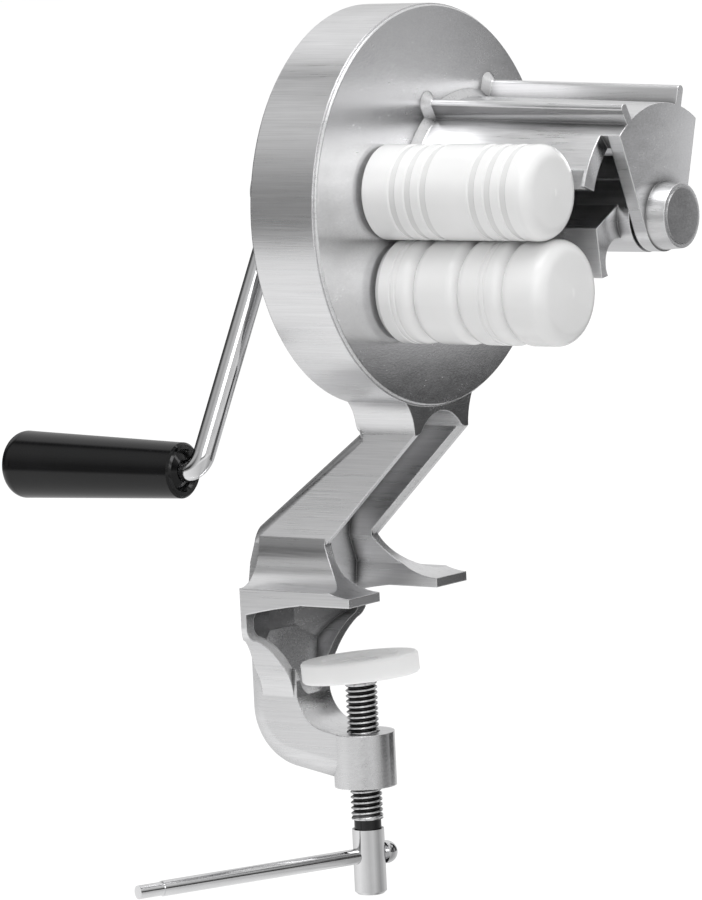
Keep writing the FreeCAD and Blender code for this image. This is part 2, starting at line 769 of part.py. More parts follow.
# Shafts
top_bore_x1 = top_roller_front_x - roller_end_wall
bottom_bore_x1 = bottom_roller_front_x - roller_end_wall
drive_shaft = cylinder_x(
    drive_shaft_radius, crank_hub_back_x - shaft_end_gap, top_bore_x1, top_roller_y, top_roller_z
)
drive_shaft.exportStep("parts/drive_shaft.step")
bottom_shaft = cylinder_x(
    roller_shaft_radius, front_gear_x0, bottom_bore_x1, bottom_roller_y, bottom_roller_z
)
bottom_shaft.exportStep("parts/bottom_roller_shaft.step")
rotor_shaft_x0 = case_rear_x + shaft_end_gap
rotor_shaft_x1 = outboard_x1 - shaft_end_gap
rotor_shaft = cylinder_x(rotor_shaft_radius, rotor_shaft_x0, rotor_shaft_x1, rotor_y, rotor_z)
rotor_shaft.exportStep("parts/rotor_shaft.step")

# Gears, meshed at rest
rotor_offset_y = rotor_y - top_roller_y
rotor_offset_z = rotor_z - top_roller_z
drive_module = 2 * math.hypot(rotor_offset_y, rotor_offset_z) / (drive_teeth + pinion_teeth)
roller_module = roller_spacing / roller_teeth
towards_rotor = math.atan2(rotor_offset_z, rotor_offset_y)
towards_bottom = math.atan2(bottom_roller_z - top_roller_z, bottom_roller_y - top_roller_y)
drive_gear = gear(
    drive_teeth, drive_module, rear_gear_x0, rear_gear_x1, top_roller_y, top_roller_z,
    drive_shaft_radius + press_fit, towards_rotor,
)
drive_gear.exportStep("parts/drive_gear.step")
rotor_pinion = gear(
    pinion_teeth, drive_module, rear_gear_x0, rear_gear_x1, rotor_y, rotor_z,
    rotor_shaft_radius + press_fit, towards_rotor + math.pi + math.pi / pinion_teeth,
)
rotor_pinion.exportStep("parts/rotor_pinion.step")
top_roller_gear = gear(
    roller_teeth, roller_module, front_gear_x0, front_gear_x1, top_roller_y, top_roller_z,
    drive_shaft_radius + press_fit, towards_bottom,
)
top_roller_gear.exportStep("parts/top_roller_gear.step")
bottom_roller_gear = gear(
    roller_teeth, roller_module, front_gear_x0, front_gear_x1, bottom_roller_y, bottom_roller_z,
    roller_shaft_radius + press_fit, towards_bottom + math.pi + math.pi / roller_teeth,
)
bottom_roller_gear.exportStep("parts/bottom_roller_gear.step")

# Rollers
roller_recess_x1 = cover_bush_x1 + shaft_end_gap
recess_radius = drive_shaft_radius + bush_wall + shaft_end_gap


def bored(roller, shaft_radius, bore_x1, y, z):
    bore = cylinder_x(shaft_radius + press_fit, roller_back_x - overshoot, bore_x1, y, z)
    recess = cylinder_x(recess_radius, roller_back_x - overshoot, roller_recess_x1, y, z)
    return roller.cut([bore, recess])


def domed_end(radius, front_x):
    """The rounded outer corner and the slight dome of a roller's free end."""
    corner = roller_end_round * (1 - math.sqrt(0.5))
    edge_x = front_x - roller_dome
    return [
        (edge_x - roller_end_round, radius),
        ((edge_x - corner, radius - corner), (edge_x, radius - roller_end_round)),
        (front_x, 0),
    ]


def ridge_band(start_x):
    points = []
    for number in range(ridge_count):
        x = start_x + number * ridge_pitch
        points.append((x, top_roller_radius))
        points.append((x + 0.4, top_roller_radius - ridge_depth))
        points.append((x + ridge_groove - 0.4, top_roller_radius - ridge_depth))
        points.append((x + ridge_groove, top_roller_radius))
    return points


band_length = (ridge_count - 1) * ridge_pitch + ridge_groove
outer_band_x = top_roller_front_x - roller_end_round - ridge_front_land - band_length
top_path = [
    (roller_back_x, 0),
    (roller_back_x, top_roller_radius - 0.6),
    (roller_back_x + 0.6, top_roller_radius),
]
top_path += ridge_band(roller_back_x + ridge_back_land)
top_path += ridge_band(outer_band_x)
top_path += domed_end(top_roller_radius, top_roller_front_x)
top_roller = turned_x(top_path, top_roller_y, top_roller_z)
top_roller = bored(top_roller, drive_shaft_radius, top_bore_x1, top_roller_y, top_roller_z)
top_roller.exportStep("parts/top_roller.step")

lobe_width = (bottom_roller_length - first_lobe_width) / (lobe_count - 1)
notch_radius = bottom_roller_radius - lobe_notch_depth


def notch(middle_x):
    """The rounded shoulders on both sides of one notch between two lobes."""
    shoulder_x = lobe_round / 3
    shoulder_radius = bottom_roller_radius - lobe_notch_depth * 0.3
    return [
        (middle_x - lobe_round, bottom_roller_radius),
        ((middle_x - shoulder_x, shoulder_radius), (middle_x, notch_radius)),
        ((middle_x + shoulder_x, shoulder_radius), (middle_x + lobe_round, bottom_roller_radius)),
    ]


def lobe_line(start_x):
    """One shallow line turned into a lobe's crest."""
    line_radius = bottom_roller_radius - lobe_line_depth
    return [
        (start_x, bottom_roller_radius),
        (start_x + lobe_line_width * 0.2, line_radius),
        (start_x + lobe_line_width * 0.8, line_radius),
        (start_x + lobe_line_width, bottom_roller_radius),
    ]


bottom_path = [
    (roller_back_x, 0),
    (roller_back_x, bottom_roller_radius - lobe_notch_depth / 2),
    (roller_back_x + lobe_round / 2, bottom_roller_radius),
]
for number in range(lobe_count - 1):
    notch_x = roller_back_x + first_lobe_width + number * lobe_width
    if number % 2 == 0:
        bottom_path += lobe_line(notch_x - lobe_round * 2)
        bottom_path += lobe_line(notch_x - lobe_round * 1.5)
    bottom_path += notch(notch_x)
bottom_path += domed_end(bottom_roller_radius, bottom_roller_front_x)
bottom_roller = turned_x(bottom_path, bottom_roller_y, bottom_roller_z)
bottom_roller = bored(bottom_roller, roller_shaft_radius, bottom_bore_x1, bottom_roller_y, bottom_roller_z)
bottom_roller.exportStep("parts/bottom_roller.step")


# Cutter rotor
def blade_point(radius, angle):
    turn = math.radians(angle)
    return (rotor_y + radius * math.cos(turn), rotor_z + radius * math.sin(turn))


blade_tip = blade_point(rotor_tip_radius, blade_tip_angle)
blade_heel = (blade_tip[0] + blade_tip_width, blade_tip[1] + 0.4)
blade_pocket = blade_point(rotor_hub_radius + 4.6, blade_pocket_angle - 8)
blade_path = [
    (rotor_y, rotor_z),
    blade_point(rotor_hub_radius, blade_root_angle),
    blade_point(blade_edge_radius, blade_edge_angle),
    blade_tip,
    blade_heel,
    (blade_pocket, blade_point(rotor_hub_radius, blade_pocket_angle)),
]
rotor = cylinder_x(rotor_hub_radius, rotor_x0, rotor_hub_x1, rotor_y, rotor_z)
for number in range(blade_count):
    blade = prism_x(blade_path, rotor_x0, rotor_x1)
    blade.rotate(V(0, rotor_y, rotor_z), V(1, 0, 0), 360 * number / blade_count)
    rotor = rotor.fuse(blade)
rotor = rotor.cut(through_x(rotor_shaft_radius + press_fit, rotor_x0, rotor_hub_x1, rotor_y, rotor_z))
rotor.removeSplitter().exportStep("parts/cutter_rotor.step")

# Crank
outward = V(0, crank_direction[0], crank_direction[1])
outward.normalize()
lean = math.radians(crank_lean)
along = outward * math.cos(lean) - V(1, 0, 0) * math.sin(lean)
hub_middle = V(crank_plane_x, top_roller_y, top_roller_z)
crank_washer = cylinder_x(crank_hub_radius, crank_hub_front_x, shaft_boss_x, top_roller_y, top_roller_z)
crank_washer = crank_washer.cut(
    through_x(drive_shaft_radius + running_fit, crank_hub_front_x, shaft_boss_x, top_roller_y, top_roller_z)
)
crank_washer.exportStep("parts/crank_washer.step")

rod_start = drive_shaft_radius + rod_shaft_gap
straight = (crank_throw - crank_bend * (1 - math.sin(lean))) / math.cos(lean)
bend_start = hub_middle + along * straight
towards_bend = V(-1, 0, 0) * math.cos(lean) - outward * math.sin(lean)
bend_middle = bend_start + towards_bend * crank_bend
bend_end = bend_middle + outward * crank_bend
grip_near_x = bend_end.x - grip_end_gap
grip_far_x = grip_near_x - grip_length
seat_x = grip_far_x + grip_cap_depth
rod_end_x = seat_x - grip_washer_thickness
rod = Part.makeCylinder(crank_rod_radius, straight - rod_start, hub_middle + along * rod_start, along)
section = Part.Face(Part.Wire(Part.makeCircle(crank_rod_radius, bend_start, along)))
elbow = section.revolve(bend_middle, V(1, 0, 0).cross(outward), 90 - crank_lean)
spindle = cylinder_x(crank_rod_radius, rod_end_x, bend_end.x, bend_end.y, bend_end.z)
rivet = cylinder_x(rivet_radius, rod_end_x - rivet_height, rod_end_x, bend_end.y, bend_end.z)
crank_arm = rod.fuse([elbow, spindle, rivet]).removeSplitter()
crank_arm.exportStep("parts/crank_arm.step")

across = V(1, 0, 0).cross(outward)
hub = cylinder_x(crank_hub_radius, crank_hub_back_x, crank_hub_front_x, top_roller_y, top_roller_z)
hub = hub.cut(
    through_x(drive_shaft_radius + press_fit, crank_hub_back_x, crank_hub_front_x, top_roller_y, top_roller_z)
)
hub_reach = crank_hub_radius + 2 * overshoot
hub = hub.cut(Part.makeCylinder(crank_rod_radius + press_fit, hub_reach, hub_middle, along))
hub = hub.cut(Part.makeCylinder(set_screw_radius + press_fit, hub_reach, hub_middle, across))
hub.exportStep("parts/crank_hub.step")
screw_shank = Part.makeCylinder(
    set_screw_radius,
    crank_hub_radius - drive_shaft_radius,
    hub_middle + across * (drive_shaft_radius + press_fit),
    across,
)
screw_head = Part.makeCylinder(
    set_screw_head_radius, set_screw_head_height, hub_middle + across * crank_hub_radius, across
)
set_screw = screw_shank.fuse(screw_head).removeSplitter()
set_screw.exportStep("parts/crank_set_screw.step")

grip_side = math.sqrt(0.5)
grip_path = [
    (grip_near_x, crank_rod_radius + grip_bore_gap),
    (grip_near_x - 1.2, crank_rod_radius + 2.2),
    (grip_near_x, crank_rod_radius + 3.0),
    (grip_near_x, grip_near_radius - 0.6),
    (grip_near_x - 0.6, grip_near_radius),
    (grip_far_x + grip_round, grip_far_radius),
    (
        (grip_far_x + grip_round * (1 - grip_side), grip_far_radius - grip_round * (1 - grip_side) * 0.7),
        (grip_far_x, grip_far_radius - grip_round * 0.7),
    ),
    (grip_far_x, grip_cap_radius + press_fit),
    (seat_x, grip_cap_radius + press_fit),
    (seat_x, crank_rod_radius + grip_bore_gap),
]
grip = turned_x(grip_path, bend_end.y, bend_end.z)
grip.exportStep("parts/crank_grip.step")
grip_washer = cylinder_x(grip_cap_radius - 0.4, rod_end_x, seat_x, bend_end.y, bend_end.z)
grip_washer = grip_washer.cut(
    through_x(crank_rod_radius + press_fit, rod_end_x, seat_x, bend_end.y, bend_end.z)
)
grip_washer.exportStep("parts/grip_washer.step")
cap_back_x = rod_end_x - rivet_height - 0.3
grip_cap_path = [
    (cap_back_x, 0),
    (cap_back_x, grip_cap_radius),
    (grip_far_x, grip_cap_radius),
    (grip_far_x - 0.5, 0.5 * grip_cap_radius),
    (grip_far_x - 0.5, 0),
]
turned_x(grip_cap_path, bend_end.y, bend_end.z).exportStep("parts/grip_end_cap.step")

# Clamp screw, pad and bar
screw = turned_z([
    (0, screw_neck_top),
    (screw_neck_radius, screw_neck_top),
    (screw_neck_radius, screw_thread_top),
    (screw_radius - 0.6, screw_thread_top),
    (screw_radius, screw_thread_top - 0.8),
    (screw_radius, screw_thread_bottom),
    (screw_collar_radius, screw_thread_bottom),
    (screw_collar_radius, screw_collar_bottom),
    (screw_head_radius, screw_collar_bottom),
    (screw_head_radius, screw_head_bottom + 0.8),
    (screw_head_radius - 0.8, screw_head_bottom),
    (0, screw_head_bottom),
])
bar_along = V(bar_direction[0], bar_direction[1], 0)
bar_along.normalize()
bar_middle = V(0, 0, bar_z)
bar_hole = Part.makeCylinder(
    bar_radius + running_fit, 4 * screw_head_radius, bar_middle - bar_along * 2 * screw_head_radius, bar_along
)
screw.cut(bar_hole).exportStep("parts/clamp_screw.step")

pivot_z = screw_neck_top - socket_height / 2
pivot = V(0, 0, pivot_z)
socket_bottom = screw_neck_top - socket_height
socket = Part.makeSphere(socket_radius, pivot)
socket = socket.common(cylinder_z(socket_radius + overshoot, socket_bottom, screw_neck_top))
socket = socket.cut(through_z(screw_neck_radius + running_fit, socket_bottom, screw_neck_top))
socket.exportStep("parts/pad_socket.step")

pad_bottom = pad_top - pad_thickness
pad_floor = pad_top - pad_recess_depth
pad_hole_radius = screw_neck_radius + 1.7 * socket_gap
pad = turned_z([
    (pad_hole_radius, pad_bottom),
    (pad_radius - pad_edge, pad_bottom),
    (pad_radius, pad_bottom + pad_edge),
    (pad_radius, pad_top - pad_edge),
    (pad_radius - pad_edge, pad_top),
    (pad_recess_radius, pad_top),
    (pad_recess_radius - pad_edge, pad_floor),
    (pad_hole_radius, pad_floor),
])
seat = Part.makeSphere(socket_radius + socket_rim_gap, pivot)
pad = pad.cut(seat.common(cylinder_z(pad_radius, socket_bottom - socket_gap, pad_top + overshoot)))
pad.rotate(pivot, V(pad_tilt_axis[0], pad_tilt_axis[1], 0), -pad_tilt)
pad.exportStep("parts/clamp_pad.step")

bar_full_end = bar_reach - bar_end_step
ball_stop = ball_centre + ball_radius * 0.3
ball_seat = screw_head_radius + ball_seat_gap
bar = Part.makeCylinder(bar_radius, bar_full_end + ball_stop, bar_middle - bar_along * ball_stop, bar_along)
bar_tip = Part.makeCylinder(bar_end_radius, bar_end_step, bar_middle + bar_along * bar_full_end, bar_along)
bar = bar.fuse(bar_tip).removeSplitter()
ball = Part.makeSphere(ball_radius, bar_middle - bar_along * ball_centre)
ball_flat = Part.makeCylinder(ball_radius * 2, ball_radius * 2, bar_middle - bar_along * ball_seat, bar_along)
ball_hole = Part.makeCylinder(
    bar_radius + press_fit, ball_radius * 3, bar_middle - bar_along * ball_stop, bar_along
)
ball.cut([ball_flat, ball_hole]).exportStep("parts/tommy_bar_ball.step")
bar.exportStep("parts/tommy_bar.step")
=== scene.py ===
# Looks for the clamp-on pasta roller: surface finishes, the clamp screw's thread, the cover screws' sockets,
# a white studio and the camera. Lengths are in metres, in the solids' own frame.
import json
import math

import bmesh
import bpy
from mathutils import Matrix, Vector


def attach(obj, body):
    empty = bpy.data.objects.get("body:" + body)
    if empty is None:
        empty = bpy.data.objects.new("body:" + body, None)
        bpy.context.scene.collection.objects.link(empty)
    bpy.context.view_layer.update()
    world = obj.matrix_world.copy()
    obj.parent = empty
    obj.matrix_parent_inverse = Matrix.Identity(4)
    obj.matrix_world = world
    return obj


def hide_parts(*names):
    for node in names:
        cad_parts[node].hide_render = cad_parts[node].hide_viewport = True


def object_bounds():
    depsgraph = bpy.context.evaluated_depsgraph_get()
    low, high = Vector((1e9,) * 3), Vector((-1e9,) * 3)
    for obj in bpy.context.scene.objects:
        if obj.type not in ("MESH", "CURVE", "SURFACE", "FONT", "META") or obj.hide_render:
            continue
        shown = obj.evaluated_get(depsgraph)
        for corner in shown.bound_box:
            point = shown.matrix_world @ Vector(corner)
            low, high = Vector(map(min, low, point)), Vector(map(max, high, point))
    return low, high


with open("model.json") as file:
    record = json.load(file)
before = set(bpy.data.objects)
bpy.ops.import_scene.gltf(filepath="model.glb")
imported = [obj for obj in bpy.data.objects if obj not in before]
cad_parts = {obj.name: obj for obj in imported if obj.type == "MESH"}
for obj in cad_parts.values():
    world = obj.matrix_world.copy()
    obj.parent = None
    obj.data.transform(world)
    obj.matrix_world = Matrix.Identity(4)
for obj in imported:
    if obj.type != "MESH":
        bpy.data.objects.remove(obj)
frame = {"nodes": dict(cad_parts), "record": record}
cad_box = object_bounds()
nodes = frame["nodes"]
scene = bpy.context.scene
MM = 0.001

# Camera, set to the photograph's viewing angle
CAMERA_AZIMUTH = math.radians(36.42)
CAMERA_ELEVATION = math.radians(6.62)
CAMERA_ROLL = math.radians(-2.73)
CAMERA_DISTANCE = 1.6541
CAMERA_TARGET = Vector((0.01239, -0.01631, 0.04418))
CAMERA_LENS = 229.18
CAMERA_SENSOR = 36.0

# Clamp screw thread, with its root and flank as shares of half a pitch. Rings close its ends, just inside
# the collar below it and the neck above it
THREAD_PITCH = 1.5875 * MM
THREAD_RADIUS = 4.74 * MM
THREAD_DEPTH = 0.85 * MM
THREAD_BOTTOM = -67.4 * MM
THREAD_TOP = -25.9 * MM
THREAD_FADE = 1.2 * THREAD_PITCH
ROOT_SHARE = 0.12
FLANK_SHARE = 0.7
SHANK_INNER_RADIUS = 4.05 * MM
COLLAR_RING_RADIUS = 3.9 * MM
NECK_RING_RADIUS = 2.9 * MM
COLLAR_BOTTOM = -70.4 * MM
THREAD_ROWS_PER_TURN = 10
THREAD_SIDES = 48
THREAD_TURNS = [2 * math.pi * side / THREAD_SIDES for side in range(THREAD_SIDES)]
THREAD_MATERIAL_INDEX = 1

# Hexagon sockets in the cover screws
SCREW_HEAD_RADIUS = 3.5 * MM
SOCKET_ACROSS = 3.6 * MM
SOCKET_DEPTH = 1.2 * MM

# Surface marks, as noise features per metre along X, Y and Z
FINE_BRUSHING = (60, 2600, 2600)
BROAD_BRUSHING = (20, 650, 650)
FINE_GRAIN = (1500, 900, 1900)
BROAD_GRAIN = (60, 90, 260)
METAL_CLOUDS = (45, 45, 45)
PLATING_CLOUDS = (160, 160, 160)
PLATING_MARKS = (1500, 1500, 90)
PLASTIC_CLOUDS = (70, 70, 70)
PLASTIC_MARKS = (900, 300, 300)
GRIP_CLOUDS = (90, 90, 90)
GRIP_LINES = (1800, 120, 120)
THREAD_MARKS = (900, 900, 400)

# The height from which the hood's near rib gets painted shade on its undercut side
RIB_BASE = 139.4 * MM

# The room's front is on the camera's side of the machine
ROOM_FRONT = math.radians(-53.6)


# Shader helpers
class NodeTree:
    """Short ways to add nodes to a node tree."""

    def __init__(self, tree, output_name):
        self.tree = tree
        self.output = tree.nodes[output_name]

    def fill(self, socket, value):
        """Link another socket to this one, or give it a plain value."""
        if isinstance(value, bpy.types.NodeSocket):
            self.tree.links.new(value, socket)
        else:
            socket.default_value = value

    def node(self, kind, inputs=None, **settings):
        made = self.tree.nodes.new(kind)
        for key, value in settings.items():
            setattr(made, key, value)
        for key, value in (inputs or {}).items():
            self.fill(made.inputs[key], value)
        return made

    def show(self, surface):
        self.fill(self.output.inputs["Surface"], surface)

    def choose(self, factor, first, second):
        """The first surface where the factor is 0 and the second where it is 1."""
        return self.node("ShaderNodeMixShader", {0: factor, 1: first, 2: second}).outputs[0]

    def coordinates(self, kind):
        return self.node("ShaderNodeTexCoord").outputs[kind]

    def parts(self, vector):
        """The vector's X, Y and Z."""
        return self.node("ShaderNodeSeparateXYZ", {"Vector": vector}).outputs

    def math(self, operation, *values):
        return self.node("ShaderNodeMath", dict(enumerate(values)), operation=operation).outputs[0]

    def product(self, first, *others):
        for other in others:
            first = self.math("MULTIPLY", first, other)
        return first

    def total(self, *terms):
        """The sum of (socket, weight) terms."""
        result = 0.0
        for socket, weight in terms:
            result = self.math("MULTIPLY_ADD", socket, weight, result)
        return result

    def vector(self, operation, *values):
        return self.node("ShaderNodeVectorMath", dict(enumerate(values)), operation=operation).outputs

    def scaled(self, colour, factor):
        return self.node("ShaderNodeVectorMath", {0: colour, "Scale": factor}, operation="SCALE").outputs[0]

    def level(self, socket, low, high, start=0.3, end=0.7):
        """The socket's values from start to end, where noise mostly lies, spread from low to high."""
        limits = {"From Min": start, "From Max": end, "To Min": low, "To Max": high}
        return self.node("ShaderNodeMapRange", {"Value": socket, **limits}).outputs["Result"]

    def blend(self, factor, first, second):
        """The first number where the factor is 0 and the second where it is 1."""
        inputs = {"Factor": factor, 2: first, 3: second}
        return self.node("ShaderNodeMix", inputs, data_type="FLOAT").outputs[0]

    def mix(self, factor, first, second):
        """The first colour where the factor is 0 and the second where it is 1."""
        inputs = {"Factor": factor, 6: first, 7: second}
        return self.node("ShaderNodeMix", inputs, data_type="RGBA").outputs[2]

    def colours(self, socket, stops):
        """A colour ramp through (position, colour) stops."""
        made = self.node("ShaderNodeValToRGB", {"Fac": socket})
        ramp = made.color_ramp
        while len(ramp.elements) < len(stops):
            ramp.elements.new(0.5)
        for element, (position, colour) in zip(ramp.elements, stops):
            element.position = position
            element.color = (*colour, 1.0)
        return made.outputs["Color"]

    def bearing(self, direction):
        """Degrees to the left of the room's front, as a share of a turn from straight behind."""
        ahead = (math.cos(ROOM_FRONT), math.sin(ROOM_FRONT), 0.0)
        leftward = (math.sin(ROOM_FRONT), -math.cos(ROOM_FRONT), 0.0)
        front_part = self.vector("DOT_PRODUCT", direction, ahead)["Value"]
        left_part = self.vector("DOT_PRODUCT", direction, leftward)["Value"]
        turn = self.math("ARCTAN2", left_part, front_part)
        return self.math("ADD", self.math("DIVIDE", turn, 2 * math.pi), 0.5)


class Shader(NodeTree):
    """A material with one principled surface."""

    def __init__(self, name):
        self.material = bpy.data.materials.new(name)
        self.material.use_nodes = True
        super().__init__(self.material.node_tree, "Material Output")
        self.surface = self.tree.nodes["Principled BSDF"]

    def set(self, **values):
        """Give the surface's inputs sockets or plain values, with spaces in their names as underscores."""
        for key, value in values.items():
            self.fill(self.surface.inputs[key.replace("_", " ")], value)

    def noise(self, stretch, detail=2.0):
        """Noise over the piece's own coordinates, with stretch features per metre along X, Y and Z."""
        place = self.coordinates("Object")
        mapped = self.node("ShaderNodeMapping", {"Vector": place, "Scale": stretch}).outputs["Vector"]
        look = {"Scale": 1.0, "Detail": detail, "Roughness": 0.55}
        return self.node("ShaderNodeTexNoise", {"Vector": mapped, **look}).outputs["Fac"]

    def bump(self, socket, depth, normal=None):
        inputs = {"Height": socket, "Distance": depth, "Strength": 1.0}
        if normal:
            inputs["Normal"] = normal
        self.set(Normal=self.node("ShaderNodeBump", inputs).outputs["Normal"])

    def rounded(self, radius):
        """Normals that round the sharp edges over."""
        return self.node("ShaderNodeBevel", {"Radius": radius}, samples=6).outputs["Normal"]

    def edges(self, rounded):
        """1 along edges, where the rounded normals turn away from the plain ones, and 0 elsewhere."""
        plain = self.node("ShaderNodeNewGeometry").outputs["Normal"]
        turned = self.vector("DOT_PRODUCT", rounded, plain)["Value"]
        return self.level(turned, low=1.0, high=0.0, start=0.8, end=0.99)

    def sheltered(self, distance, start, end):
        """0 deep in hollows and 1 on open surfaces."""
        made = self.node("ShaderNodeAmbientOcclusion", {"Distance": distance}, samples=8, only_local=True)
        return self.level(made.outputs["AO"], low=0.0, high=1.0, start=start, end=end)

    def facing_x(self, start, end):
        """1 where the surface looks along the roller axes, either way, and 0 on the sides."""
        size = self.math("ABSOLUTE", self.parts(self.coordinates("Normal"))["X"])
        return self.level(size, low=0.0, high=1.0, start=start, end=end)

    def axis_distance(self, middle, across):
        """The distance from a line through middle, where across is 1 for the directions that count."""
        offset = self.vector("SUBTRACT", self.coordinates("Object"), middle)[0]
        flat = self.vector("MULTIPLY", offset, across)[0]
        return self.vector("LENGTH", flat)["Value"]


# Surface finishes
def grey(value):
    return (value, value, value * 1.01)


def bronze(value):
    return (value, value * 0.74, value * 0.42)


def rib_shade(shader, rib_base):
    """1 on undercut sides above rib_base that look along -Y, and 0 elsewhere: the mask of the painted shade
    under the hood's rib.
    """
    looks = shader.parts(shader.coordinates("Normal"))
    undercut = shader.level(looks["Z"], low=1.0, high=0.0, start=-0.4, end=-0.2)
    sideways = shader.level(looks["Y"], low=1.0, high=0.0, start=-0.85, end=-0.75)
    height = shader.parts(shader.coordinates("Object"))["Z"]
    raised = shader.level(height, low=0.0, high=1.0, start=rib_base, end=rib_base + 0.4 * MM)
    return shader.product(undercut, sideways, raised)


def brushed_metal(name, dark, light, roughness, hollow_shade_tone, hollow_shade_reach, tint=grey, rib_base=None):
    """Metal with brush lines on its sides and finer grain on faces along X. Its edges are painted lighter, a
    painted highlight that is partly rubbed wear, and its hollows and concave corners are painted darker,
    painted shade that in the hollows also stands for a duller as-cast finish.

    Above rib_base, where it is given, undercut sides that look along -Y are painted dark as a stripe of
    painted shade.
    """
    corner_shade_reach = 4 * MM
    corner_shade_tone = 0.3
    rib_shade_tone = 0.42
    edge_radius = 0.5 * MM
    edge_wear_and_highlight = 0.25
    edge_polish = 0.12
    end_polish = 0.06
    mark_dulling = 0.06
    brush_depth = 0.012 * MM
    shader = Shader(name)
    ends = shader.facing_x(start=0.75, end=0.95)
    fine = shader.blend(ends, shader.noise(FINE_BRUSHING), shader.noise(FINE_GRAIN, detail=4.0))
    broad = shader.blend(ends, shader.noise(BROAD_BRUSHING), shader.noise(BROAD_GRAIN, detail=3.0))
    cloud = shader.noise(METAL_CLOUDS, detail=3.0)
    marks = shader.total((fine, 0.4), (broad, 0.35), (cloud, 0.25))
    normal = shader.rounded(edge_radius)
    edges = shader.edges(normal)
    # Painted highlight: edges are painted lighter, which partly also stands for rubbed wear
    worn_and_highlit = shader.total((marks, 1.0), (edges, edge_wear_and_highlight))
    tone = shader.colours(worn_and_highlit, [(0.34, tint(dark)), (0.66, tint(light))])
    # Painted shade: darker in hollows, where it also stands for a duller as-cast finish, and darker in
    # concave corners
    hollow_shade = shader.blend(shader.sheltered(hollow_shade_reach, start=0.3, end=0.8), hollow_shade_tone, 1.0)
    corners = shader.blend(shader.sheltered(corner_shade_reach, start=0.5, end=0.95), corner_shade_tone, 1.0)
    shade = shader.product(hollow_shade, corners)
    # Painted shade stripe on the undercut side of the hood's rib
    if rib_base:
        shade = shader.product(shade, shader.blend(rib_shade(shader, rib_base), 1.0, rib_shade_tone))
    smooth = shader.blend(ends, roughness, roughness - end_polish)
    satin = shader.level(marks, low=-mark_dulling, high=mark_dulling)
    shader.set(
        Base_Color=shader.scaled(tone, shade),
        Roughness=shader.total((smooth, 1.0), (satin, 1.0), (edges, -edge_polish)),
        Metallic=shader.level(edges, low=1.0, high=0.4, start=0.0, end=1.0),
    )
    shader.bump(fine, brush_depth, normal)
    return shader.material


def polished_metal(name, tone, roughness):
    """Bright plating with faint clouding and rub marks."""
    shader = Shader(name)
    cloud = shader.noise(PLATING_CLOUDS, detail=4.0)
    marks = shader.noise(PLATING_MARKS)
    shader.set(
        Base_Color=shader.colours(cloud, [(0.3, grey(tone - 0.06)), (0.7, grey(tone))]),
        Roughness=shader.level(marks, low=roughness * 0.6, high=roughness * 1.5),
        Metallic=1.0,
    )
    shader.bump(marks, 0.004 * MM)
    return shader.material


def thread_metal(name):
    """Cut thread with painted shade in the roots and a painted highlight on the crests. The thinner collar
    under it gets the same dark painted shade.
    """
    shader = Shader(name)
    radius = shader.axis_distance(middle=(0, 0, 0), across=(1, 1, 0))
    # Painted shade in the roots and on the collar, and a painted highlight on the crests
    crest_highlight = shader.level(radius, low=0.0, high=1.0, start=THREAD_RADIUS - THREAD_DEPTH, end=THREAD_RADIUS)
    marks = shader.noise(THREAD_MARKS, detail=3.0)
    shade = shader.product(shader.level(marks, low=0.75, high=1.0), crest_highlight)
    shader.set(
        Base_Color=shader.colours(shade, [(0.2, grey(0.05)), (0.55, grey(0.25)), (0.85, grey(0.9))]),
        Roughness=shader.level(marks, low=0.14, high=0.26),
        Metallic=1.0,
    )
    return shader.material


def milky(shader, cloud):
    return shader.colours(cloud, [(0.3, (0.92, 0.92, 0.918)), (0.7, (0.96, 0.96, 0.958))])


def pad_plastic(name):
    """Dull translucent moulding, whose faint glow stands in for light that comes through it."""
    tone = 0.74
    shader = Shader(name)
    cloud = shader.noise(PLASTIC_CLOUDS)
    shader.set(
        Base_Color=shader.scaled(milky(shader, cloud), tone),
        Roughness=shader.level(shader.noise(PLASTIC_MARKS), low=0.47, high=0.53),
        Specular_IOR_Level=0.0,
        Subsurface_Weight=1.0,
        Subsurface_Scale=8 * MM,
        Subsurface_Radius=(1, 1, 1),
        Emission_Color=(1, 1, 1, 1),
        Emission_Strength=0.17,
    )
    shader.bump(cloud, 0.004 * MM, shader.rounded(0.25 * MM))
    return shader.material


def roller_plastic(name, node_name, groove_depth):
    """Translucent roller moulding with painted shade in its grooves and on its underside."""
    corners = [Vector(corner) for corner in nodes[node_name].bound_box]
    low = Vector([min(corner[i] for corner in corners) for i in range(3)])
    high = Vector([max(corner[i] for corner in corners) for i in range(3)])
    outer = (high.z - low.z) / 2
    shader = Shader(name)
    radius = shader.axis_distance(middle=(low + high) / 2, across=(0, 1, 1))
    # Painted shade: greyer in the grooves and on the downward-facing side
    groove_shade = shader.level(radius, low=0.86, high=1.0, start=outer - groove_depth, end=outer)
    rounded_end = shader.facing_x(start=0.15, end=0.45)
    upward = shader.parts(shader.node("ShaderNodeNewGeometry").outputs["Normal"])["Z"]
    underside_shade = shader.level(upward, low=0.88, high=1.0, start=-0.2, end=0.35)
    shade = shader.product(shader.blend(rounded_end, groove_shade, 1.0), underside_shade)
    cloud = shader.noise(PLASTIC_CLOUDS)
    shader.set(
        Base_Color=shader.scaled(milky(shader, cloud), shade),
        Roughness=shader.level(shader.noise(PLASTIC_MARKS), low=0.2, high=0.26),
        Subsurface_Weight=0.2,
        Subsurface_Scale=2 * MM,
        Subsurface_Radius=(1, 1, 1),
        Coat_Weight=0.25,
        Coat_Roughness=0.12,
    )
    shader.bump(cloud, 0.004 * MM, shader.rounded(0.25 * MM))
    return shader.material


